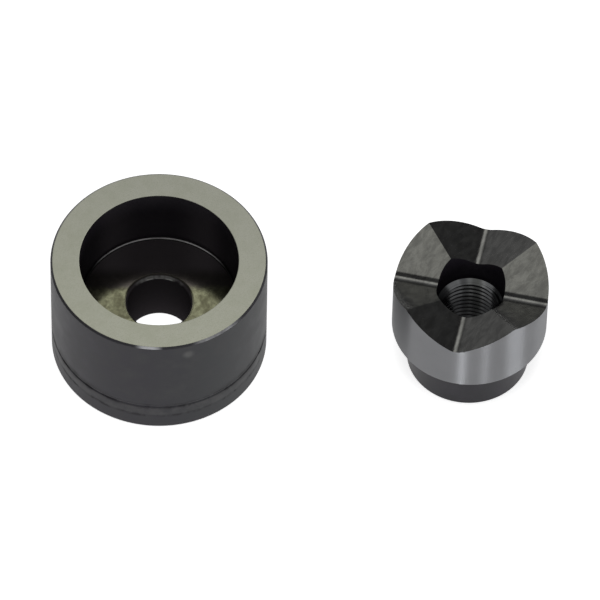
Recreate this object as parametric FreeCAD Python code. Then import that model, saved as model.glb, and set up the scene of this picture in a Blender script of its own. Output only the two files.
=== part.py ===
import FreeCAD, Part
import math
import os

# Knockout punch and die of a hydraulic hole punch, millimetres.
# The pair stands on its flat ends as it lies on the bench: the die on the left with its
# throat up, the punch on the right with its cutting face up. Every round form is turned,
# and the punch's face is then ground by two crossed grooves, which leaves four crests.
# The origin is the middle of the pair's base. +X runs from the die to the punch, +Z is up.

# Driving dimensions

# The hole that the pair makes is as large as the punch.
HOLE_DIAMETER = 49.6
# Room all round between the punch and the die's throat.
SHEAR_CLEARANCE = 0.6

# The draw stud's thread.
STUD_DIAMETER = 20.0
STUD_PITCH = 2.0
# Free room for the stud, across the die's hole and across the punch's counterbore.
DIE_STUD_ROOM = 0.4
PUNCH_STUD_ROOM = 1.4

# Die: a cup with a thick floor.
DIE_WALL = 9.2
DIE_FLOOR = 20.7
SLUG_DEPTH = 22.7
DIE_RIM_CHAMFER = 0.6
DIE_BASE_CHAMFER = 0.8
SLUG_FLOOR_FILLET = 0.8
# The stud hole's edge is broken widely in the floor, to lead the stud in, and less in the base.
DIE_HOLE_CHAMFER = 0.9
DIE_HOLE_BASE_CHAMFER = 0.3
# A shallow turned groove runs round the outside above the base.
GROOVE_HEIGHT = 11.2
GROOVE_WIDTH = 1.3
GROOVE_DEPTH = 0.3

# Punch: a wide cutting head on a narrower neck.
NECK_DIAMETER = 39.2
NECK_HEIGHT = 18.2
NECK_BASE_CHAMFER = 0.8
NECK_ROOT_FILLET = 0.6
# The head from its shoulder to the bottom of the grooves at the rim.
HEAD_HEIGHT = 17.1
# How steeply the faces rise from the grooves to the crests, in degrees, and the radius
# that the grinding wheel leaves at the bottom of the grooves.
SHEAR_ANGLE = 25.4
VALLEY_RADIUS = 5.0
# The counterbore goes down from the grooves to the thread. Its mouth flares from a little
# under the grooves, by that angle from the axis, and the faces are ground through the flare.
COUNTERBORE_DEPTH = 8.1
MOUTH_DROP = 0.3
MOUTH_ANGLE = 16.0
THREAD_EXIT_CHAMFER = 1.2
# How far the first groove is turned about the axis from +X, in degrees.
FACE_TURN = -12.9

# How the pair stands: the clear gap along X, and how far the punch stands nearer.
PAIR_GAP = 39.95
PUNCH_FORWARD = 6.05

# Sizes worked out from the driving dimensions

punch_radius = HOLE_DIAMETER / 2
throat_radius = punch_radius + SHEAR_CLEARANCE
die_radius = throat_radius + DIE_WALL
die_height = DIE_FLOOR + SLUG_DEPTH
die_hole_radius = (STUD_DIAMETER + DIE_STUD_ROOM) / 2

neck_radius = NECK_DIAMETER / 2
valley_height = NECK_HEIGHT + HEAD_HEIGHT
counterbore_radius = (STUD_DIAMETER + PUNCH_STUD_ROOM) / 2
counterbore_floor = valley_height - COUNTERBORE_DEPTH
mouth_foot = valley_height - MOUTH_DROP
# The flat-topped crests of a 60 degree thread leave five eighths of its full depth.
thread_depth = 5 / 8 * STUD_PITCH * math.sqrt(3) / 2
thread_minor_radius = STUD_DIAMETER / 2 - thread_depth

# Without its rounding each groove would be a sharp V whose edge lies a little deeper.
shear_angle = math.radians(SHEAR_ANGLE)
rounding_axis = valley_height + VALLEY_RADIUS
sharp_height = rounding_axis - VALLEY_RADIUS / math.cos(shear_angle)
# A crest stands halfway between two grooves, so it meets the rim at 45 degrees to both.
crest_height = sharp_height + punch_radius * math.sqrt(0.5) * math.tan(shear_angle)
mouth_flare = (crest_height - mouth_foot) * math.tan(math.radians(MOUTH_ANGLE))

pair_length = 2 * die_radius + PAIR_GAP + 2 * punch_radius
front = min(-die_radius, -PUNCH_FORWARD - punch_radius)
back = max(die_radius, -PUNCH_FORWARD + punch_radius)
middle_y = (front + back) / 2
die_place = FreeCAD.Vector(die_radius - pair_length / 2, -middle_y, 0)
punch_place = FreeCAD.Vector(pair_length / 2 - punch_radius, -PUNCH_FORWARD - middle_y, 0)

UP = FreeCAD.Vector(0, 0, 1)
AXIS_POINT = FreeCAD.Vector(0, 0, 0)


def point(radius, height):
    """A point of a half section, in the XZ plane."""
    return FreeCAD.Vector(radius, 0, height)


def line(start, end):
    return Part.makeLine(start, end)


def bend(start, middle, end):
    return Part.Arc(start, middle, end).toShape()


def fillet_middle(corner_radius, corner_height, size, out, up):
    """Middle of the quarter arc that rounds a square corner, towards out and up."""
    reach = size * (1 - math.sqrt(0.5))
    return point(corner_radius + out * reach, corner_height + up * reach)


def turned(edges):
    """The ring that a closed half section sweeps about the Z axis."""
    section = Part.Face(Part.Wire(edges))
    return section.revolve(AXIS_POINT, UP, 360)


def die_section():
    """Half section of the die, from the stud hole's foot, counterclockwise."""
    foot = DIE_BASE_CHAMFER
    rim = DIE_RIM_CHAMFER
    mouth = DIE_HOLE_CHAMFER
    way_out = DIE_HOLE_BASE_CHAMFER
    root = SLUG_FLOOR_FILLET
    groove_low = GROOVE_HEIGHT - GROOVE_WIDTH / 2
    groove_high = GROOVE_HEIGHT + GROOVE_WIDTH / 2
    hole_foot = point(die_hole_radius, way_out)
    base_in = point(die_hole_radius + way_out, 0)
    base_out = point(die_radius - foot, 0)
    wall_foot = point(die_radius, foot)
    groove_start = point(die_radius, groove_low)
    groove_bottom = point(die_radius - GROOVE_DEPTH, GROOVE_HEIGHT)
    groove_end = point(die_radius, groove_high)
    wall_top = point(die_radius, die_height - rim)
    rim_out = point(die_radius - rim, die_height)
    cutting_edge = point(throat_radius, die_height)
    throat_foot = point(throat_radius, DIE_FLOOR + root)
    root_middle = fillet_middle(throat_radius, DIE_FLOOR, root, -1, 1)
    floor_out = point(throat_radius - root, DIE_FLOOR)
    floor_in = point(die_hole_radius + mouth, DIE_FLOOR)
    hole_top = point(die_hole_radius, DIE_FLOOR - mouth)
    return [
        line(hole_foot, base_in),
        line(base_in, base_out),
        line(base_out, wall_foot),
        line(wall_foot, groove_start),
        bend(groove_start, groove_bottom, groove_end),
        line(groove_end, wall_top),
        line(wall_top, rim_out),
        line(rim_out, cutting_edge),
        line(cutting_edge, throat_foot),
        bend(throat_foot, root_middle, floor_out),
        line(floor_out, floor_in),
        line(floor_in, hole_top),
        line(hole_top, hole_foot),
    ]


def punch_section():
    """Half section of the punch blank, level with the crests and bored for the stud."""
    foot = NECK_BASE_CHAMFER
    exit_room = THREAD_EXIT_CHAMFER
    root = NECK_ROOT_FILLET
    lead_in = counterbore_radius - thread_minor_radius
    bore_foot = point(thread_minor_radius, exit_room)
    base_in = point(thread_minor_radius + exit_room, 0)
    base_out = point(neck_radius - foot, 0)
    neck_foot = point(neck_radius, foot)
    neck_top = point(neck_radius, NECK_HEIGHT - root)
    root_middle = fillet_middle(neck_radius, NECK_HEIGHT, root, 1, -1)
    shoulder_in = point(neck_radius + root, NECK_HEIGHT)
    shoulder_out = point(punch_radius, NECK_HEIGHT)
    head_top = point(punch_radius, crest_height)
    face_in = point(counterbore_radius + mouth_flare, crest_height)
    mouth_in = point(counterbore_radius, mouth_foot)
    counterbore_foot = point(counterbore_radius, counterbore_floor)
    thread_top = point(thread_minor_radius, counterbore_floor - lead_in)
    return [
        line(bore_foot, base_in),
        line(base_in, base_out),
        line(base_out, neck_foot),
        line(neck_foot, neck_top),
        bend(neck_top, root_middle, shoulder_in),
        line(shoulder_in, shoulder_out),
        line(shoulder_out, head_top),
        line(head_top, face_in),
        line(face_in, mouth_in),
        line(mouth_in, counterbore_foot),
        line(counterbore_foot, thread_top),
        line(thread_top, bore_foot),
    ]


def groove():
    """What is ground away along X: straight sides, tangent to a round at the bottom."""
    reach = 2 * punch_radius
    touch_width = VALLEY_RADIUS * math.sin(shear_angle)
    touch_height = sharp_height + touch_width * math.tan(shear_angle)
    top_height = sharp_height + reach * math.tan(shear_angle)
    left_top = FreeCAD.Vector(-reach, reach, top_height)
    left_touch = FreeCAD.Vector(-reach, touch_width, touch_height)
    bottom = FreeCAD.Vector(-reach, 0, valley_height)
    right_touch = FreeCAD.Vector(-reach, -touch_width, touch_height)
    right_top = FreeCAD.Vector(-reach, -reach, top_height)
    outline = [
        line(left_top, left_touch),
        bend(left_touch, bottom, right_touch),
        line(right_touch, right_top),
        line(right_top, left_top),
    ]
    section = Part.Face(Part.Wire(outline))
    return section.extrude(FreeCAD.Vector(2 * reach, 0, 0))


def about_axis(shape, degrees):
    copy = shape.copy()
    copy.rotate(AXIS_POINT, UP, degrees)
    return copy


def make_die():
    die = turned(die_section())
    die.translate(die_place)
    return die


def make_punch():
    blank = turned(punch_section())
    grooves = [about_axis(groove(), turn) for turn in (0, 90)]
    punch = blank.cut(grooves)
    punch.rotate(AXIS_POINT, UP, FACE_TURN)
    punch.translate(punch_place)
    return punch


def export(shape, name):
    """Writes the one solid of a shape as parts/NAME.step."""
    if len(shape.Solids) != 1 or not shape.isValid():
        raise ValueError(name + " is not one valid solid")
    shape.Solids[0].exportStep("parts/" + name + ".step")


os.makedirs("parts", exist_ok=True)
export(make_die(), "die")
export(make_punch(), "punch")
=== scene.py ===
import math

import bpy
from mathutils import Euler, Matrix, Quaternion, Vector


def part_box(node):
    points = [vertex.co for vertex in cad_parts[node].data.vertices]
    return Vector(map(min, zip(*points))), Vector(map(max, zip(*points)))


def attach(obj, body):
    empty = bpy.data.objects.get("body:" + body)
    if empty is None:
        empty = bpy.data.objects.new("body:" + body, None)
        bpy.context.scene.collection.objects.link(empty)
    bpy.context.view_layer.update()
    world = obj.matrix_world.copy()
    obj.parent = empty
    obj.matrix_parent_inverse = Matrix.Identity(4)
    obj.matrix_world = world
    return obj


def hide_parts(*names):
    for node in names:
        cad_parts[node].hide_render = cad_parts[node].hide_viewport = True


# A knockout punch and its die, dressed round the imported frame. Lengths are millimetres until
# they become mesh points or light sizes, which are metres.

MM = 0.001

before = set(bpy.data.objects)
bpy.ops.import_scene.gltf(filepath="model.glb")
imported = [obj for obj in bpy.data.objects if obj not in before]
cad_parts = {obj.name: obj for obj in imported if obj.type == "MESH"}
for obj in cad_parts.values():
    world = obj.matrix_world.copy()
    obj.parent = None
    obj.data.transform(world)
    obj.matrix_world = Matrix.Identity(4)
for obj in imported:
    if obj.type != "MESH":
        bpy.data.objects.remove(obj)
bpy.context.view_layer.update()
die_low, die_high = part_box("die")
punch_low, punch_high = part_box("punch")


# Sizes that the frame gives

DIE_CENTRE = (die_low + die_high) / 2 / MM
DIE_RADIUS = (die_high.x - die_low.x) / 2 / MM
DIE_HEIGHT = die_high.z / MM
PUNCH_CENTRE = (punch_low + punch_high) / 2 / MM
PUNCH_RADIUS = (punch_high.x - punch_low.x) / 2 / MM

# Sizes that repeat the part's own

THROAT_RADIUS = PUNCH_RADIUS + 0.6
DIE_FLOOR = 20.7
DIE_HOLE_RADIUS = 10.2
DIE_RIM_CHAMFER = 0.6
DIE_BASE_CHAMFER = 0.8
DIE_HOLE_CHAMFER = 0.9
DIE_HOLE_BASE_CHAMFER = 0.3
SLUG_FLOOR_FILLET = 0.8
GROOVE_HEIGHT = 11.2
GROOVE_WIDTH = 1.3
GROOVE_DEPTH = 0.3

NECK_RADIUS = 19.6
NECK_HEIGHT = 18.2
NECK_BASE_CHAMFER = 0.8
NECK_ROOT_FILLET = 0.6
VALLEY_HEIGHT = 35.3
VALLEY_RADIUS = 5.0
SHEAR_ANGLE = math.radians(25.4)
COUNTERBORE_RADIUS = 10.7
COUNTERBORE_FLOOR = 27.2
MOUTH_FOOT = 35.0
MOUTH_ANGLE = math.radians(16.0)
THREAD_EXIT_CHAMFER = 1.2
STUD_RADIUS = 10.0
STUD_PITCH = 2.0
THREAD_MINOR_RADIUS = STUD_RADIUS - 5 / 8 * STUD_PITCH * math.sqrt(3) / 2
FACE_TURN = math.radians(-12.9)

# Height of the turned lead-in, which the thread's first turns cut into, and where in its turn the
# thread starts.
LEAD_IN = 1.0
THREAD_PHASE = 0.78

# Worked edges are broken by small rounds, and the cutting edges stay nearly sharp.
BROKEN_EDGE = 0.12
SHOULDER_EDGE = 0.15
FINE_EDGE = 0.1
RIM_EDGE = 0.08
BASE_HOLE_EDGE = 0.06
CUTTING_EDGE = 0.03
GROOVE_ROUND = 0.6

# Marks on the die's wall: the height of a faint line drawn in painted shade, and the x and z of a
# worn spot on the front.
FAINT_LINE = 6.4
WORN_SPOT = (9.4, 38.6)

# The wheel's strokes run this way across the punch's face, and are so many times as long as wide.
STROKE_HEADING = math.radians(51)
STROKE_LENGTH = 2.5

# Painted shade in the punch's bore: the near-black of its thread's roots, its depth and the front
# of its lead-in.
PAINTED_BORE_SHADE = (0.012, 0.012, 0.013)

# The floor's half width in metres, its glow, and how far it lies under the bases.
FLOOR_SIZE = 12.0
FLOOR_GLOW = 0.75
FLOOR_DROP = 0.02


# Outlines and ring meshes

ARC_STEP = math.radians(15)
SUPPORT = 0.25


def softened(corners, closed):
    """An outline of corners (radius, height, rounding, region of the stretch that follows, and
    perhaps the region of the corner's own arc).

    Each corner becomes an arc with a support point beside each end, so that the flats stay flat.
    Returns the points and, for each, the region of the stretch that follows it."""
    points = []
    regions = []
    count = len(corners)
    for i, (radius, height, rounding, region, *arc_region) in enumerate(corners):
        here = Vector((radius, height))
        if not closed and i in (0, count - 1):
            points.append(here)
            regions.append(region)
            continue
        before = Vector(corners[i - 1][:2])
        after = Vector(corners[(i + 1) % count][:2])
        way_in = (here - before).normalized()
        way_out = (after - here).normalized()
        turn = math.atan2(way_in.x * way_out.y - way_in.y * way_out.x, way_in.dot(way_out))
        reach = rounding * math.tan(abs(turn) / 2)
        start = here - way_in * reach
        end = here + way_out * reach
        steps = max(2, round(abs(turn) / ARC_STEP))
        support = min(SUPPORT, (here - before).length / 5, (after - here).length / 5)
        points.append(start - way_in * support)
        regions.append(corners[i - 1][3])
        for step in range(steps + 1):
            swept = turn * step / steps
            chord = 2 * rounding * math.sin(abs(swept) / 2)
            heading = Vector((way_in.x * math.cos(swept / 2) - way_in.y * math.sin(swept / 2),
                              way_in.x * math.sin(swept / 2) + way_in.y * math.cos(swept / 2)))
            points.append(start + heading * chord)
            half = corners[i - 1][3] if step < steps / 2 else region
            regions.append(arc_region[0] if arc_region and step < steps else half)
        points.append(end + way_out * support)
        regions.append(region)
    return points, regions


def ring_mesh(name, rings, regions, materials):
    """A closed skin through rings of equally many points, each joined to the next and the last
    to the first. The faces that follow a ring wear the material of its region."""
    around = len(rings[0])
    vertices = [Vector(p) * MM for ring in rings for p in ring]
    faces = []
    worn = []
    for i in range(len(rings)):
        below = i * around
        above = (i + 1) % len(rings) * around
        for j in range(around):
            k = (j + 1) % around
            faces.append((below + j, below + k, above + k, above + j))
            worn.append(list(materials).index(regions[i]))
    mesh = bpy.data.meshes.new(name)
    mesh.from_pydata(vertices, [], faces)
    for material in materials.values():
        mesh.materials.append(material)
    mesh.polygons.foreach_set("material_index", worn)
    return mesh


def shade(mesh, sharp_degrees=25):
    mesh.shade_smooth()
    mesh.set_sharp_from_angle(angle=math.radians(sharp_degrees))


def place(mesh):
    piece = bpy.data.objects.new(mesh.name, mesh)
    bpy.context.scene.collection.objects.link(piece)
    return piece


# Materials

class Finish:
    """One material's nodes. Each method adds a node and returns its output socket."""

    def __init__(self, name, centre):
        self.material = bpy.data.materials.new(name)
        self.material.use_nodes = True
        self.tree = self.material.node_tree
        self.shader = self.tree.nodes["Principled BSDF"]
        spot = self.add("ShaderNodeTexCoord").outputs["Object"]
        self.place = self.vector("SUBTRACT", spot, (centre.x * MM, centre.y * MM, 0))

    def add(self, kind, **settings):
        node = self.tree.nodes.new(kind)
        for key, value in settings.items():
            setattr(node, key, value)
        return node

    def feed(self, socket, value):
        """Links an output to a socket, or sets the socket where value is a plain one."""
        if isinstance(value, bpy.types.NodeSocket):
            self.tree.links.new(value, socket)
        else:
            socket.default_value = value

    def vector(self, operation, *values):
        node = self.add("ShaderNodeVectorMath", operation=operation)
        for socket, value in zip(node.inputs, values):
            self.feed(socket, value)
        return node.outputs["Value" if operation in ("LENGTH", "DOT_PRODUCT") else "Vector"]

    def math(self, operation, *values):
        node = self.add("ShaderNodeMath", operation=operation)
        for socket, value in zip(node.inputs, values):
            self.feed(socket, value)
        return node.outputs[0]

    def parts(self, vector):
        node = self.add("ShaderNodeSeparateXYZ")
        self.feed(node.inputs[0], vector)
        return node.outputs

    def radius(self):
        """Distance from the piece's axis."""
        return self.vector("LENGTH", self.vector("MULTIPLY", self.place, (1, 1, 0)))

    def combined(self, x, y, z):
        node = self.add("ShaderNodeCombineXYZ")
        for socket, value in zip(node.inputs, (x, y, z)):
            self.feed(socket, value)
        return node.outputs[0]

    def noise(self, size, vector=None, detail=4.0, roughness=0.5, distortion=0.0, shift=0.0):
        """Soft noise from 0 to 1 whose patches measure about size millimetres."""
        node = self.add("ShaderNodeTexNoise", noise_dimensions="4D")
        self.feed(node.inputs["Vector"], vector or self.place)
        node.inputs["W"].default_value = shift
        node.inputs["Scale"].default_value = 1 / (size * MM)
        node.inputs["Detail"].default_value = detail
        node.inputs["Roughness"].default_value = roughness
        node.inputs["Distortion"].default_value = distortion
        return node.outputs["Fac"]

    def spread(self, value, low, high, to_low=0.0, to_high=1.0, smooth=True):
        """value taken from the range low to high to the range to_low to to_high."""
        kind = "SMOOTHSTEP" if smooth else "LINEAR"
        node = self.add("ShaderNodeMapRange", interpolation_type=kind)
        for socket, number in zip(node.inputs, (value, low, high, to_low, to_high)):
            self.feed(socket, number)
        return node.outputs["Result"]

    def blend(self, factor, first, second, kind="MIX"):
        node = self.add("ShaderNodeMix", data_type="RGBA", blend_type=kind)
        for name, value in (("Factor_Float", factor), ("A_Color", first), ("B_Color", second)):
            socket = next(s for s in node.inputs if s.identifier == name)
            if isinstance(value, tuple):
                value = (*value, 1.0)
            self.feed(socket, value)
        return next(s for s in node.outputs if s.identifier == "Result_Color")

    def band(self, value, low, high, edge):
        """1 between low and high, falling softly to 0 over an edge on each side."""
        rise = self.spread(value, low - edge, low)
        fall = self.spread(value, high, high + edge, 1.0, 0.0)
        return self.math("MULTIPLY", rise, fall)

    def turned(self, around, across):
        """Coordinates for marks that run round the axis: long ones with a small around, close
        ones with a large across, both in waves a millimetre."""
        flat = self.vector("MULTIPLY", self.place, (1, 1, 0))
        radius = self.vector("LENGTH", flat)
        unit = self.parts(self.vector("NORMALIZE", flat))
        height = self.parts(self.place)[2]
        along = self.math("ADD", radius, height)
        return self.combined(self.math("MULTIPLY", unit[0], around * MM),
                             self.math("MULTIPLY", unit[1], around * MM),
                             self.math("MULTIPLY", along, across))

    def bump(self, height, depth):
        """Raises the surface by height times depth millimetres."""
        node = self.add("ShaderNodeBump")
        node.inputs["Distance"].default_value = depth * MM
        self.feed(node.inputs["Height"], height)
        self.feed(self.shader.inputs["Normal"], node.outputs["Normal"])

    def finish(self, **inputs):
        """Sets the shader's sockets by name, with _ for a space, and returns the material."""
        for name, value in inputs.items():
            socket = self.shader.inputs[name.replace("_", " ")]
            if isinstance(value, tuple) and len(value) == 3:
                value = (*value, 1.0)
            self.feed(socket, value)
        return self.material


def ground_rim():
    """Flat ground steel with a fine grey-green speckle, and painted shade: a little darker at the
    back, a little lighter in front.
    """
    look = Finish("ground_rim", DIE_CENTRE)
    cloud = look.noise(5.0, detail=5.0, roughness=0.65, shift=1.0)
    speckle = look.noise(0.35, detail=2.0, shift=2.0)
    marks = look.noise(1.0, look.turned(12.0, 3.0), detail=3.0, shift=3.0)
    tone = look.blend(look.spread(cloud, 0.3, 0.7), (0.75, 0.765, 0.645), (0.93, 0.94, 0.815))
    tone = look.blend(look.spread(speckle, 0.45, 0.75, 0.0, 0.35), tone, (0.58, 0.59, 0.49))
    # Painted light and shade: the steel's colour is raised in front and lowered at the back.
    away = look.vector("DOT_PRODUCT", look.place, (0.5, 1.0, 0.0))
    away = look.spread(away, -DIE_RADIUS * MM, DIE_RADIUS * MM, smooth=False)
    painted_light_slope = look.blend(away, (1.06, 1.065, 1.04), (0.92, 0.92, 0.93))
    tone = look.blend(1.0, tone, painted_light_slope, "MULTIPLY")
    look.bump(look.math("ADD", look.math("MULTIPLY", speckle, 0.5), marks), 0.004)
    return look.finish(Base_Color=tone, Metallic=1.0,
                       Roughness=look.spread(cloud, 0.2, 0.8, 0.17, 0.23))


def die_wall():
    """The die's blackened wall: violet on its left and blue-grey on its right, with painted shade
    in smudges along the groove and along a faint line under it, and rubbed between the two and at
    one spot."""
    look = Finish("die_oxide", DIE_CENTRE)
    x, y, z = look.parts(look.place)
    cloud = look.noise(6.0, detail=5.0, roughness=0.6, shift=4.0)
    marks = look.noise(1.0, look.turned(8.0, 4.0), detail=3.0, shift=6.0)
    wear_and_shade_patches = look.noise(5.0, detail=4.0, roughness=0.6, shift=17.0)
    tone = look.blend(look.spread(x, -0.4 * DIE_RADIUS * MM, 0.7 * DIE_RADIUS * MM),
                      (0.0135, 0.0118, 0.0168), (0.0118, 0.0128, 0.0146))
    tone = look.blend(look.spread(cloud, 0.35, 0.8), tone, (0.025, 0.0245, 0.026))
    rubbed = look.band(z, (FAINT_LINE + 1.0) * MM, (GROOVE_HEIGHT - 1.2) * MM, 1.0 * MM)
    rubbed = look.math("MULTIPLY", rubbed, look.spread(wear_and_shade_patches, 0.35, 0.65, 0.0, 0.7))
    tone = look.blend(rubbed, tone, (0.034, 0.033, 0.034))
    side = look.spread(look.math("ABSOLUTE", x), 0.35 * DIE_RADIUS * MM, 0.8 * DIE_RADIUS * MM)
    # Painted shade: a dark band along the groove and along the faint line under it, broken into
    # smudges, stronger towards the sides, and with the gloss dulled there too.
    painted_wall_shade = look.band(z, (GROOVE_HEIGHT - 0.5) * MM, (GROOVE_HEIGHT + 0.5) * MM, 1.5 * MM)
    painted_shade_line = look.band(z, (FAINT_LINE - 0.1) * MM, (FAINT_LINE + 0.1) * MM, 1.0 * MM)
    painted_wall_shade = look.math("MAXIMUM", painted_wall_shade, painted_shade_line)
    painted_wall_shade = look.math("MULTIPLY", painted_wall_shade, look.spread(wear_and_shade_patches, 0.42, 0.56, 0.85, 0.1))
    painted_wall_shade = look.math("MULTIPLY", painted_wall_shade, look.spread(side, 0.0, 1.0, 0.6, 1.0, smooth=False))
    groove_shade_smear = look.band(z, (GROOVE_HEIGHT - 0.8) * MM, (GROOVE_HEIGHT + 1.4) * MM, 1.8 * MM)
    groove_shade_smear = look.math("MULTIPLY", groove_shade_smear, look.spread(cloud, 0.35, 0.6, 0.25, 0.6))
    painted_wall_shade = look.math("MAXIMUM", painted_wall_shade, look.math("MULTIPLY", groove_shade_smear, side))
    tone = look.blend(painted_wall_shade, tone, (0.004, 0.0035, 0.004))
    spot_x, spot_z = WORN_SPOT
    spot = look.vector("SUBTRACT", look.combined(x, 0.0, z), (spot_x * MM, 0, spot_z * MM))
    spot = look.spread(look.vector("LENGTH", spot), 0.3 * MM, 2.6 * MM, 0.8, 0.0)
    spot = look.math("MULTIPLY", spot, look.spread(y, -5.0 * MM, 0.0, 1.0, 0.0))
    spot = look.math("MULTIPLY", spot, look.spread(wear_and_shade_patches, 0.3, 0.6, 0.5, 1.0))
    tone = look.blend(spot, tone, (0.062, 0.062, 0.06))
    look.bump(marks, 0.003)
    return look.finish(Base_Color=tone, Metallic=0.0,
                       Roughness=look.spread(cloud, 0.2, 0.8, 0.46, 0.58),
                       Specular_IOR_Level=look.spread(painted_wall_shade, 0.0, 1.0, 0.2, 0.03, smooth=False))


def rim_edge():
    """The chamfer round the die's rim: black, with bright patches in front that are partly wear and
    partly painted highlight.
    """
    look = Finish("rim_edge", DIE_CENTRE)
    x, y = look.parts(look.place)[:2]
    rub = look.spread(look.noise(3.0, detail=2.0, shift=18.0), 0.3, 0.7, 0.10, 0.26)
    # Bright metal patches on the front of the chamfer: partly wear, partly painted highlights.
    left_wear_and_highlight = look.math("MULTIPLY", look.band(x, -3.8 * MM, -2.6 * MM, 4.2 * MM), 0.62)
    right_wear_and_highlight = look.math("MULTIPLY", look.band(x, 15.0 * MM, 22.0 * MM, 5.0 * MM), rub)
    worn = look.math("MAXIMUM", left_wear_and_highlight, right_wear_and_highlight)
    worn = look.math("MULTIPLY", worn, look.spread(y, -1.0 * MM, 0.0, 1.0, 0.0))
    tone = look.blend(worn, (0.020, 0.019, 0.022), (0.9, 0.9, 0.92))
    return look.finish(Base_Color=tone, Metallic=worn, Roughness=0.4, Specular_IOR_Level=0.4)


def black_oxide(name, centre):
    """Blackened steel, lightly clouded, with a violet cast and faint turning marks."""
    look = Finish(name, centre)
    cloud = look.noise(6.0, detail=5.0, roughness=0.6, shift=4.0)
    hue = look.noise(14.0, detail=2.0, shift=5.0)
    marks = look.noise(1.0, look.turned(8.0, 4.0), detail=3.0, shift=6.0)
    tone = look.blend(look.spread(hue, 0.35, 0.65),
                      (0.0065, 0.0045, 0.0095), (0.0055, 0.0050, 0.0075))
    tone = look.blend(look.spread(cloud, 0.35, 0.8), tone, (0.016, 0.014, 0.019))
    look.bump(marks, 0.003)
    return look.finish(Base_Color=tone, Metallic=0.0,
                       Roughness=look.spread(cloud, 0.2, 0.8, 0.36, 0.46), Specular_IOR_Level=0.2)


def dark_bore(name, centre, gloss):
    """Blackened wall of a bore, smoother and darker than the outside."""
    look = Finish(name, centre)
    cloud = look.noise(5.0, detail=3.0, shift=7.0)
    tone = look.blend(cloud, (0.0085, 0.007, 0.010), (0.014, 0.012, 0.015))
    return look.finish(Base_Color=tone, Metallic=0.0, Roughness=0.4, Specular_IOR_Level=gloss)


def bright_root():
    """The small round at the foot of the throat, rubbed bright, with a strip of painted shade along
    its lower part at the back.
    """
    look = Finish("bright_root", DIE_CENTRE)
    cloud = look.noise(4.0, detail=3.0, shift=16.0)
    tone = look.blend(look.spread(cloud, 0.3, 0.7), (0.45, 0.44, 0.45), (0.8, 0.79, 0.8))
    y, z = look.parts(look.place)[1:]
    # Painted shade: a dark strip along the lower part of the round at the back, by the floor.
    painted_shade_line = look.band(z, (DIE_FLOOR + 0.15) * MM, (DIE_FLOOR + 0.4) * MM, 0.1 * MM)
    painted_shade_line = look.math("MULTIPLY", painted_shade_line, look.spread(y, 12.5 * MM, 19.5 * MM))
    tone = look.blend(painted_shade_line, (0.05, 0.048, 0.05), tone)
    return look.finish(Base_Color=tone, Metallic=1.0, Roughness=0.3)


def slug_floor():
    """The die's turned floor: stained, mottled olive in front and plain brown-violet behind, split
    where its mirrored light gives way to shade, so partly stain, partly painted light and shade;
    with painted shade along the back of the stud hole."""
    look = Finish("slug_floor", DIE_CENTRE)
    y = look.parts(look.place)[1]
    radius = look.radius()
    # Stain with painted light and shade: olive mottle in front where the floor mirrors light, a
    # plainer tone behind where it mirrors the dark wall.
    border = look.noise(4.0, detail=4.0, shift=19.0)
    border = look.math("MULTIPLY_ADD", border, 5.0 * MM, y)
    front = look.spread(border, 6.5 * MM, 9.5 * MM, 1.0, 0.0)
    stain = look.noise(3.6, detail=5.0, roughness=0.6, distortion=0.6, shift=8.0)
    speck = look.noise(1.1, detail=4.0, roughness=0.6, shift=9.0)
    tone = look.blend(look.spread(stain, 0.35, 0.65), (0.27, 0.265, 0.165), (0.60, 0.61, 0.40))
    tone = look.blend(look.spread(speck, 0.48, 0.66, 0.0, 0.5), tone, (0.18, 0.17, 0.11))
    plain_back_with_shade = look.blend(look.spread(stain, 0.3, 0.7), (0.22, 0.20, 0.185), (0.30, 0.27, 0.25))
    deep = look.spread(y, 9.5 * MM, 15.0 * MM)
    plain_back_with_shade = look.blend(deep, plain_back_with_shade, (0.56, 0.50, 0.53))
    tone = look.blend(front, plain_back_with_shade, tone)
    # Painted shade: a dark ring along the back of the stud hole's edge.
    edge = DIE_HOLE_RADIUS + DIE_HOLE_CHAMFER
    painted_lip_shading = look.spread(radius, (edge + 0.1) * MM, (edge + 0.4) * MM, 1.0, 0.0)
    painted_lip_shading = look.math("MULTIPLY", painted_lip_shading, look.spread(y, 2.0 * MM, 6.0 * MM))
    tone = look.blend(painted_lip_shading, tone, (0.06, 0.057, 0.045))
    look.bump(stain, 0.005)
    return look.finish(Base_Color=tone, Metallic=0.985, Roughness=0.14)


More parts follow.
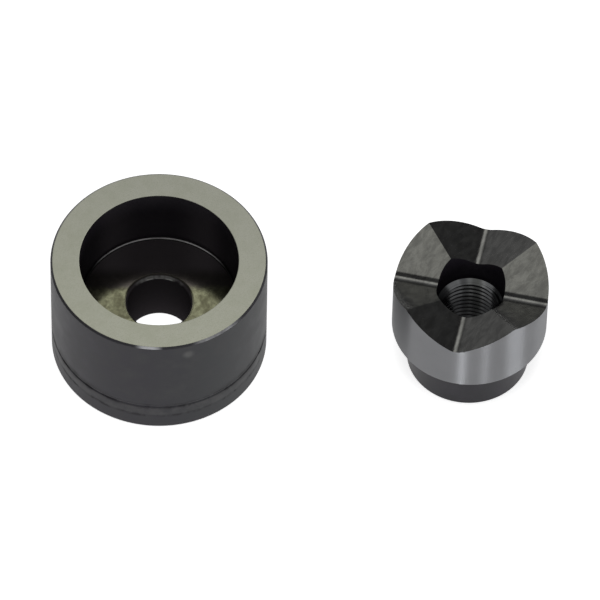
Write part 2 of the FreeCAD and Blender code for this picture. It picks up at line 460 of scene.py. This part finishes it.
def stud_hole():
    """The die's stud hole: black, with bright spots at the back of its edge, partly wear and partly
    painted highlight; its edge's outer half is painted light olive in front and dark behind."""
    look = Finish("stud_hole", DIE_CENTRE)
    x, y, z = look.parts(look.place)
    radius = look.radius()
    # Bright spots at the back of the edge: partly wear, partly painted highlights.
    rub = look.noise(2.6, detail=3.0, shift=10.0)
    high = look.band(z, (DIE_FLOOR - 1.3) * MM, (DIE_FLOOR - 0.7) * MM, 0.5 * MM)
    wear_and_glint_spots = look.band(look.math("ABSOLUTE", x), 2.6 * MM, 3.6 * MM, 1.5 * MM)
    wear_and_glint_spots = look.math("MULTIPLY", wear_and_glint_spots, 0.9)
    wear_and_glint_spots = look.math("MAXIMUM", wear_and_glint_spots, look.spread(rub, 0.40, 0.70, 0.0, 0.55))
    worn = look.math("MULTIPLY", wear_and_glint_spots, high)
    worn = look.math("MULTIPLY", worn, look.spread(y, 6.5 * MM, 9.0 * MM))
    # Painted light and shade: the edge's outer half light olive in front and dark behind, like the
    # floor beside it.
    painted_lip_shading = look.spread(y, -1.0 * MM, 5.0 * MM)
    painted_lip_shading = look.blend(painted_lip_shading, (0.40, 0.40, 0.27), (0.022, 0.02, 0.018))
    middle = DIE_HOLE_RADIUS + 0.5
    outside = look.spread(radius, middle * MM, (middle + 0.15) * MM)
    tone = look.blend(outside, (0.030, 0.0265, 0.029), painted_lip_shading)
    tone = look.blend(worn, tone, (0.34, 0.34, 0.33))
    return look.finish(Base_Color=tone, Metallic=worn, Roughness=0.55,
                       Specular_IOR_Level=0.0)


def ground_side():
    """The punch's ground cutting cylinder: fine marks run round it and draw lights out upright."""
    look = Finish("ground_side", PUNCH_CENTRE)
    marks = look.noise(1.0, look.turned(6.0, 8.0), detail=4.0, shift=11.0)
    cloud = look.noise(7.0, detail=3.0, shift=12.0)
    tone = look.blend(cloud, (0.210, 0.212, 0.220), (0.244, 0.246, 0.255))
    look.bump(marks, 0.003)
    tangent = look.add("ShaderNodeTangent", direction_type="RADIAL", axis="Z").outputs[0]
    return look.finish(Base_Color=tone, Metallic=1.0, Roughness=0.40, Anisotropic=1.0,
                       Anisotropic_Rotation=0.25, Tangent=tangent)


def shear_face():
    """The punch's ground face: satin steel with soft cloudy strokes of the wheel."""
    look = Finish("shear_face", PUNCH_CENTRE)
    stroke = look.add("ShaderNodeMapping", vector_type="TEXTURE")
    stroke.inputs["Rotation"].default_value[2] = STROKE_HEADING
    stroke.inputs["Scale"].default_value = (STROKE_LENGTH, 1.0, 1.0)
    look.feed(stroke.inputs["Vector"], look.place)
    stroke = stroke.outputs[0]
    cloud = look.noise(1.9, stroke, detail=5.0, roughness=0.6, distortion=0.5, shift=13.0)
    fine = look.noise(0.35, stroke, detail=2.0, shift=14.0)
    tone = look.blend(look.spread(cloud, 0.3, 0.7), (0.34, 0.34, 0.33), (0.55, 0.55, 0.53))
    look.bump(look.math("ADD", cloud, look.math("MULTIPLY", fine, 0.05)), 0.05)
    return look.finish(Base_Color=tone, Metallic=1.0, Roughness=0.17, Specular_Tint=(0.5, 0.5, 0.5))


def tapped_steel():
    """The thread and its lead-in: cut steel with a light oil sheen, and painted shade that makes it
    dark at the roots, darker further down, and dark where the lead-in comes round to the front."""
    look = Finish("tapped_steel", PUNCH_CENTRE)
    cloud = look.noise(2.0, detail=3.0, shift=15.0)
    tone = look.blend(cloud, (0.16, 0.165, 0.17), (0.25, 0.255, 0.26))
    y, z = look.parts(look.place)[1:]
    # Painted shade: darker further down the bore, below the lead-in, and at the lead-in's front.
    foot = COUNTERBORE_FLOOR - LEAD_IN
    below = look.spread(z, (foot - 0.2) * MM, foot * MM, 1.0, 0.0)
    deep = look.spread(z, (foot - 10.0) * MM, foot * MM, 0.75, 0.0)
    deep = look.math("MAXIMUM", deep, look.math("MULTIPLY", below, 0.35))
    side = look.spread(y, 1.0 * MM, 6.0 * MM, 0.9, 0.0)
    side = look.math("MULTIPLY", side, look.math("SUBTRACT", 1.0, below))
    tone = look.blend(look.math("MAXIMUM", deep, side), tone, PAINTED_BORE_SHADE)
    # Painted shade in the roots of the thread.
    radius = look.radius()
    root = look.spread(radius, (STUD_RADIUS - 0.62) * MM, (STUD_RADIUS - 0.42) * MM)
    cut = look.spread(z, (foot + 0.25) * MM, (foot + 0.4) * MM, 1.0, 0.0)
    tone = look.blend(look.math("MULTIPLY", root, cut), tone, PAINTED_BORE_SHADE)
    return look.finish(Base_Color=tone, Metallic=1.0, Roughness=0.13)


# The die

AROUND = 256


def circle(radius, height, centre, angles):
    return [(centre.x + radius * math.cos(a), centre.y + radius * math.sin(a), height)
            for a in angles]


def make_die():
    """The cup, turned from its half section."""
    corners = [
        (DIE_HOLE_RADIUS, DIE_HOLE_BASE_CHAMFER, BASE_HOLE_EDGE, "wall"),
        (DIE_HOLE_RADIUS + DIE_HOLE_BASE_CHAMFER, 0, BASE_HOLE_EDGE, "wall"),
        (DIE_RADIUS - DIE_BASE_CHAMFER, 0, BROKEN_EDGE, "wall"),
        (DIE_RADIUS, DIE_BASE_CHAMFER, BROKEN_EDGE, "wall"),
        (DIE_RADIUS, GROOVE_HEIGHT - GROOVE_WIDTH / 2, FINE_EDGE, "wall"),
        (DIE_RADIUS - GROOVE_DEPTH, GROOVE_HEIGHT, GROOVE_ROUND, "wall"),
        (DIE_RADIUS, GROOVE_HEIGHT + GROOVE_WIDTH / 2, FINE_EDGE, "wall"),
        (DIE_RADIUS, DIE_HEIGHT - DIE_RIM_CHAMFER, BROKEN_EDGE, "rim_edge"),
        (DIE_RADIUS - DIE_RIM_CHAMFER, DIE_HEIGHT, RIM_EDGE, "rim"),
        (THROAT_RADIUS, DIE_HEIGHT, CUTTING_EDGE, "bore"),
        (THROAT_RADIUS, DIE_FLOOR, SLUG_FLOOR_FILLET, "floor", "root"),
        (DIE_HOLE_RADIUS + DIE_HOLE_CHAMFER, DIE_FLOOR, FINE_EDGE, "hole"),
        (DIE_HOLE_RADIUS, DIE_FLOOR - DIE_HOLE_CHAMFER, FINE_EDGE, "hole"),
    ]
    outline, regions = softened(corners, closed=True)
    angles = [2 * math.pi * j / AROUND for j in range(AROUND)]
    rings = [circle(p.x, p.y, DIE_CENTRE, angles) for p in outline]
    materials = {"wall": die_wall(), "rim_edge": rim_edge(), "rim": ground_rim(),
                 "bore": dark_bore("die_bore", DIE_CENTRE, 0.15), "root": bright_root(),
                 "floor": slug_floor(), "hole": stud_hole()}
    mesh = ring_mesh("die_body", rings, regions, materials)
    shade(mesh)
    die = place(mesh)
    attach(die, "die")
    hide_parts("die")
    return die


# The punch

FILLET_COLUMNS = 8
FACE_COLUMNS = 24
FACE_ROWS = 24
# The fan's first columns stay close to the groove, which keeps the face flat.
FAN_CLOSENESS = 1.6
# Rings that keep the cutting cylinder straight under the face, and the bore over its lead-in.
STRAIGHT_UNDER_FACE = 1.5
STRAIGHT_OVER_LEAD_IN = 0.2
TOUCH_WIDTH = VALLEY_RADIUS * math.sin(SHEAR_ANGLE)
SHARP_HEIGHT = VALLEY_HEIGHT + VALLEY_RADIUS - VALLEY_RADIUS / math.cos(SHEAR_ANGLE)


def face_height(offset):
    """Height of the ground face at that distance from the middle of the nearest groove."""
    if offset < TOUCH_WIDTH:
        return VALLEY_HEIGHT + VALLEY_RADIUS - math.sqrt(VALLEY_RADIUS ** 2 - offset ** 2)
    return SHARP_HEIGHT + offset * math.tan(SHEAR_ANGLE)


def column_angle(column, radius):
    """Angle from the middle of a groove to one of the columns that run from it to the crest.

    The first columns keep their distance from the middle, and the others fan out."""
    if column <= FILLET_COLUMNS:
        return math.asin(TOUCH_WIDTH * column / FILLET_COLUMNS / radius)
    touch = math.asin(TOUCH_WIDTH / radius)
    share = ((column - FILLET_COLUMNS) / FACE_COLUMNS) ** FAN_CLOSENESS
    return touch + share * (math.pi / 4 - touch)


def face_columns():
    """The columns round the punch, as (groove, column, side): side is 1 counterclockwise of the
    groove and -1 clockwise."""
    last = FILLET_COLUMNS + FACE_COLUMNS
    columns = []
    for groove in range(4):
        for column in range(last):
            columns.append((groove, column, 1))
        for column in range(last, 0, -1):
            columns.append((groove + 1, column, -1))
    return columns


def mouth_radius(groove_angle_of):
    """Where a column of the face meets the flared mouth of the bore."""
    radius = COUNTERBORE_RADIUS
    for _ in range(30):
        offset = radius * math.sin(groove_angle_of(radius))
        flare = (face_height(offset) - MOUTH_FOOT) * math.tan(MOUTH_ANGLE)
        radius = COUNTERBORE_RADIUS + flare
    return radius


# The tap's segments in a turn, its turns, and how far it starts under the base and its core stays
# inside the bore's wall.
TAP_AROUND = 96
TAP_TURNS = 17
TAP_BELOW = 3.0
TAP_INSIDE = 0.3


def make_tap(material_index, materials):
    """The screw that cuts the thread, as a closed helical rod longer than the bore."""
    around = TAP_AROUND
    turns = TAP_TURNS
    core = THREAD_MINOR_RADIUS - TAP_INSIDE
    # A 60 degree groove whose bottom is an eighth of the pitch wide.
    half_root = STUD_PITCH / 16
    half_core = half_root + (STUD_RADIUS - core) * math.tan(math.radians(30))
    section = [(core, -half_core), (STUD_RADIUS, -half_root),
               (STUD_RADIUS, half_root), (core, half_core)]
    start = THREAD_PHASE * STUD_PITCH - TAP_BELOW
    steps = around * turns
    vertices = []
    for step in range(steps + 1):
        angle = 2 * math.pi * step / around
        lift = start + STUD_PITCH * step / around
        for radius, offset in section:
            vertices.append((radius * math.cos(angle), radius * math.sin(angle), lift + offset))
    faces = []
    for step in range(steps):
        a, b = 4 * step, 4 * (step + 1)
        for i in range(3):
            faces.append((a + i, b + i, b + i + 1, a + i + 1))
        if step + around < steps:
            above, above_next = 4 * (step + around), 4 * (step + 1 + around)
            faces.append((a + 3, b + 3, above_next, above))
    foot = len(vertices)
    vertices.append((0, 0, start - 2 * STUD_PITCH))
    head = len(vertices)
    vertices.append((0, 0, start + STUD_PITCH * (turns + 2)))
    first_loop = [4 * step for step in range(around + 1)] + [3, 2, 1]
    last_loop = [4 * step + 3 for step in range(steps - around, steps + 1)]
    last_loop += [4 * steps + 2, 4 * steps + 1, 4 * steps]
    for loop, tip, flip in ((first_loop, foot, True), (last_loop, head, False)):
        for i, vertex in enumerate(loop):
            after = loop[(i + 1) % len(loop)]
            faces.append((vertex, tip, after) if flip else (vertex, after, tip))
    mesh = bpy.data.meshes.new("tap")
    centre = Vector((PUNCH_CENTRE.x, PUNCH_CENTRE.y, 0))
    mesh.from_pydata([(Vector(v) + centre) * MM for v in vertices], [], faces)
    for material in materials.values():
        mesh.materials.append(material)
    mesh.polygons.foreach_set("material_index", [material_index] * len(faces))
    return place(mesh)


def make_punch():
    """The punch: its lower outline turned, its face ground by two crossed grooves, then tapped."""
    columns = face_columns()

    def angle_at(column, radius):
        groove, number, side = column
        return FACE_TURN + groove * math.pi / 2 + side * column_angle(number, radius)

    def offset_at(column, radius):
        return radius * math.sin(column_angle(column[1], radius))

    outer_angles = [angle_at(c, PUNCH_RADIUS) for c in columns]
    inner_angles = [angle_at(c, COUNTERBORE_RADIUS) for c in columns]
    rings = []
    regions = []
    lower = [
        (THREAD_MINOR_RADIUS, THREAD_EXIT_CHAMFER, 0, "thread"),
        (THREAD_MINOR_RADIUS + THREAD_EXIT_CHAMFER, 0, FINE_EDGE, "neck"),
        (NECK_RADIUS - NECK_BASE_CHAMFER, 0, BROKEN_EDGE, "neck"),
        (NECK_RADIUS, NECK_BASE_CHAMFER, BROKEN_EDGE, "neck"),
        (NECK_RADIUS, NECK_HEIGHT, NECK_ROOT_FILLET, "neck"),
        (PUNCH_RADIUS, NECK_HEIGHT, SHOULDER_EDGE, "side"),
        (PUNCH_RADIUS, VALLEY_HEIGHT - STRAIGHT_UNDER_FACE, 0, "side"),
    ]
    outline, outline_regions = softened(lower, closed=False)
    for point, region in zip(outline, outline_regions):
        angles = inner_angles if point.x < NECK_RADIUS - 2 else outer_angles
        rings.append(circle(point.x, point.y, PUNCH_CENTRE, angles))
        regions.append(region)

    hole = [mouth_radius(lambda r, c=c: column_angle(c[1], r)) for c in columns]
    for row in range(FACE_ROWS + 1):
        share = row / FACE_ROWS
        ring = []
        for column, inner in zip(columns, hole):
            radius = PUNCH_RADIUS + share * (inner - PUNCH_RADIUS)
            angle = angle_at(column, radius)
            height = face_height(offset_at(column, radius))
            ring += circle(radius, height, PUNCH_CENTRE, [angle])
        rings.append(ring)
        regions.append("face" if row < FACE_ROWS else "bore")

    for radius, height, region in (
        (COUNTERBORE_RADIUS, MOUTH_FOOT, "bore"),
        (COUNTERBORE_RADIUS, COUNTERBORE_FLOOR + STRAIGHT_OVER_LEAD_IN, "bore"),
        (COUNTERBORE_RADIUS, COUNTERBORE_FLOOR, "thread"),
        (THREAD_MINOR_RADIUS, COUNTERBORE_FLOOR - LEAD_IN, "crests"),
    ):
        rings.append(circle(radius, height, PUNCH_CENTRE, inner_angles))
        regions.append(region)

    # The thread's crests wear the near-black bore finish as painted shade for the dark inside the
    # bore.
    materials = {"neck": black_oxide("neck_oxide", PUNCH_CENTRE), "side": ground_side(),
                 "face": shear_face(), "bore": dark_bore("punch_bore", PUNCH_CENTRE, 0.03),
                 "thread": tapped_steel(),
                 "crests": dark_bore("thread_crests_in_painted_shade", PUNCH_CENTRE, 0.03)}
    blank = place(ring_mesh("punch_blank", rings, regions, materials))
    tap = make_tap(list(materials).index("thread"), materials)
    cut = blank.modifiers.new("tapping", "BOOLEAN")
    cut.operation = "DIFFERENCE"
    cut.solver = "EXACT"
    cut.object = tap
    bpy.context.view_layer.update()
    tapped = blank.evaluated_get(bpy.context.evaluated_depsgraph_get())
    mesh = bpy.data.meshes.new_from_object(tapped)
    mesh.name = "punch_body"
    shade(mesh)
    punch = place(mesh)
    for scrap in (blank, tap):
        bpy.data.objects.remove(scrap)
    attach(punch, "punch")
    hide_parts("punch")
    return punch


# Floor, lights and camera

def make_floor():
    """A wide pale floor, which also glows a little so that its shadows stay light."""
    size = FLOOR_SIZE
    corners = [(-size, -size, 0), (size, -size, 0), (size, size, 0), (-size, size, 0)]
    mesh = bpy.data.meshes.new("floor")
    mesh.from_pydata(corners, [], [(0, 1, 2, 3)])
    material = bpy.data.materials.new("floor_paper")
    material.use_nodes = True
    shader = material.node_tree.nodes["Principled BSDF"]
    shader.inputs["Base Color"].default_value = (0.85, 0.85, 0.85, 1.0)
    shader.inputs["Roughness"].default_value = 0.9
    shader.inputs["Specular IOR Level"].default_value = 0.0
    shader.inputs["Emission Color"].default_value = (1.0, 1.0, 1.0, 1.0)
    shader.inputs["Emission Strength"].default_value = FLOOR_GLOW
    mesh.materials.append(material)
    floor = place(mesh)
    floor.location.z = -FLOOR_DROP * MM


def heading(azimuth, elevation):
    """Direction from the pair, in degrees: azimuth 0 is behind it, 90 to its right."""
    a, e = math.radians(azimuth), math.radians(elevation)
    return Vector((math.sin(a) * math.cos(e), math.cos(a) * math.cos(e), math.sin(e)))


class Sky:
    """The room round the pair: a dim surround with soft glowing patches, as nodes of the world."""

    def __init__(self):
        self.world = bpy.data.worlds.new("room")
        self.world.use_nodes = True
        self.tree = self.world.node_tree
        self.towards = self.tree.nodes.new("ShaderNodeTexCoord").outputs["Generated"]
        self.sum = None

    def link(self, socket, value):
        if isinstance(value, bpy.types.NodeSocket):
            self.tree.links.new(value, socket)
        else:
            socket.default_value = value

    def math(self, operation, *values):
        node = self.tree.nodes.new("ShaderNodeMath")
        node.operation = operation
        for socket, value in zip(node.inputs, values):
            self.link(socket, value)
        return node.outputs[0]

    def dot(self, axis):
        node = self.tree.nodes.new("ShaderNodeVectorMath")
        node.operation = "DOT_PRODUCT"
        self.link(node.inputs[0], self.towards)
        node.inputs[1].default_value = axis
        return node.outputs["Value"]

    def ramp(self, value, low, high, to_low, to_high):
        node = self.tree.nodes.new("ShaderNodeMapRange")
        node.interpolation_type = "SMOOTHSTEP"
        for socket, number in zip(node.inputs, (value, low, high, to_low, to_high)):
            self.link(socket, number)
        return node.outputs["Result"]

    def window(self, value, low, low_edge, high, high_edge):
        """1 between low and high, falling softly to 0 over each edge outside them."""
        rise = self.ramp(value, low - low_edge, low, 0, 1)
        fall = self.ramp(value, high, high + high_edge, 1, 0)
        return self.math("MULTIPLY", rise, fall)

    def add(self, colour, amount):
        node = self.tree.nodes.new("ShaderNodeVectorMath")
        node.operation = "SCALE"
        node.inputs[0].default_value = colour
        self.link(node.inputs["Scale"], amount)
        patch = node.outputs["Vector"]
        if self.sum is None:
            self.sum = patch
            return
        total = self.tree.nodes.new("ShaderNodeVectorMath")
        total.operation = "ADD"
        self.link(total.inputs[0], self.sum)
        self.link(total.inputs[1], patch)
        self.sum = total.outputs["Vector"]

    def patch(self, azimuth, elevation, sides, ends, radiance, tint=(1.0, 1.0, 1.0)):
        """A soft rectangle round a direction. sides and ends are (low, low edge, high, high edge)
        in degrees from its middle, across and upwards."""
        middle = heading(azimuth, elevation)
        across = heading(azimuth + 90, 0)
        up = across.cross(middle)
        if up.z < 0:
            up = -up
        depth = self.dot(middle)
        shape = self.math("GREATER_THAN", depth, 0.02)
        in_front = self.math("MAXIMUM", depth, 0.01)
        for axis, (low, low_edge, high, high_edge) in ((across, sides), (up, ends)):
            degrees = (low - low_edge, low, high, high + high_edge)
            start, full, past, end = [math.tan(math.radians(a)) for a in degrees]
            offset = self.math("DIVIDE", self.dot(axis), in_front)
            extent = self.window(offset, full, full - start, past, end - past)
            shape = self.math("MULTIPLY", shape, extent)
        self.add(tint, self.math("MULTIPLY", shape, radiance))

    def finish(self):
        background = self.tree.nodes["Background"]
        self.tree.links.new(self.sum, background.inputs["Color"])
        bpy.context.scene.world = self.world


def softbox(name, azimuth, elevation, distance, width, height, radiance, mirrored=True):
    """A rectangular light that faces the pair."""
    back = heading(azimuth, elevation)
    light = bpy.data.lights.new(name, "AREA")
    light.shape = "RECTANGLE"
    light.size = width
    light.size_y = height
    # A Lambertian rectangle gives off pi times its area times its radiance.
    light.energy = radiance * math.pi * width * height
    lamp = bpy.data.objects.new(name, light)
    bpy.context.scene.collection.objects.link(lamp)
    lamp.location = back * distance
    lamp.rotation_mode = "QUATERNION"
    lamp.rotation_quaternion = back.to_track_quat("Z", "Y")
    lamp.visible_camera = False
    lamp.visible_glossy = mirrored


WARM = (1.0, 1.0, 0.93)
COOL = (0.96, 0.98, 1.0)


def make_lights():
    sky = Sky()
    # The dim surround, lighter towards the horizon.
    sky.add((1.0, 1.0, 1.02), sky.ramp(sky.dot(Vector((0, 0, 1))), 0.1, 0.7, 0.06, 0.035))
    # The large softbox behind the pair, with a soft foot.
    sky.patch(0, 54, (3, 16, 10, 5), (-1, 10, 6, 7), 0.28, WARM)
    sky.patch(0, 54, (3, 16, 8, 7), (0, 29, 5, 7), 0.19)
    # The overhead one, in line with the punch's nearer faces.
    sky.patch(189, 76, (-5, 8, 18, 8), (-8, 6, 2.5, 7), 0.29, WARM)
    # Side ones, which light the thread.
    sky.patch(112, 56, (-8, 8, 8, 8), (-5, 6, 6, 6), 0.4)
    sky.patch(-112, 56, (-8, 8, 8, 8), (-5, 6, 6, 6), 0.4)
    # Back left, low, for the punch's right-hand faces.
    sky.patch(-41, 24.5, (-14, 12, 20, 14), (-10, 8, 16, 14), 0.08)
    # High in front, where the lead-in mirrors it.
    sky.patch(168, 67, (-14, 8, 4, 6), (-6, 5, 5, 5), 0.2)
    # A soft belt round the front.
    front = sky.ramp(sky.dot(heading(180, 0)), -0.2, 0.4, 0, 1)
    belt = sky.window(sky.dot(Vector((0, 0, 1))), 0.42, 0.17, 0.68, 0.12)
    sky.add((1.0, 1.0, 0.98), sky.math("MULTIPLY", sky.math("MULTIPLY", front, belt), 0.17))
    # Low windows in front, which the ground cylinder draws out into upright bands.
    sky.patch(189.5, 10, (-1.5, 2.5, 1.5, 2.5), (-10, 4, -1, 3), 29.6, COOL)
    sky.patch(164.5, 10, (-3, 5, 0.5, 1.0), (-10, 4, -1, 3), 13.0, COOL)
    sky.patch(125, 10, (-8, 5, 8, 5), (-10, 4, -1, 3), 10.4, COOL)
    sky.patch(82, 10, (-8, 8, 8, 8), (-10, 4, -1, 3), 1.85, COOL)
    sky.finish()
    softbox("floor_light", 180, 78, distance=2.5, width=1.2, height=1.2, radiance=6.0,
            mirrored=False)


CAMERA_ELEVATION = 54.265
CAMERA_DISTANCE = 2562.0
CAMERA_TARGET = Vector((0.37, 0.0, 21.67))
# The camera stands a little to the left of its target and is panned onto it.
CAMERA_LEFT = 42.8
# The photo's sides are 600 pixels, and the lens is that many of them away.
LENS_PIXELS = 7998.0
PHOTO_PIXELS = 600
SENSOR = 36.0


def make_camera():
    camera = bpy.data.cameras.new("camera")
    camera.sensor_width = SENSOR
    camera.lens = LENS_PIXELS / PHOTO_PIXELS * SENSOR
    camera.clip_end = 50.0
    viewer = bpy.data.objects.new("camera", camera)
    bpy.context.scene.collection.objects.link(viewer)
    elevation = math.radians(CAMERA_ELEVATION)
    back = Vector((0, -math.cos(elevation), math.sin(elevation)))
    stand = CAMERA_TARGET + back * CAMERA_DISTANCE - Vector((CAMERA_LEFT, 0, 0))
    viewer.location = stand * MM
    tilt = Euler((math.pi / 2 - elevation, 0, 0)).to_quaternion()
    pan = Quaternion((0, 1, 0), -math.atan2(CAMERA_LEFT, CAMERA_DISTANCE))
    viewer.rotation_mode = "QUATERNION"
    viewer.rotation_quaternion = tilt @ pan
    bpy.context.scene.camera = viewer
    bpy.context.scene.view_settings.view_transform = "Standard"


make_camera()
make_lights()
make_floor()
make_die()
make_punch()
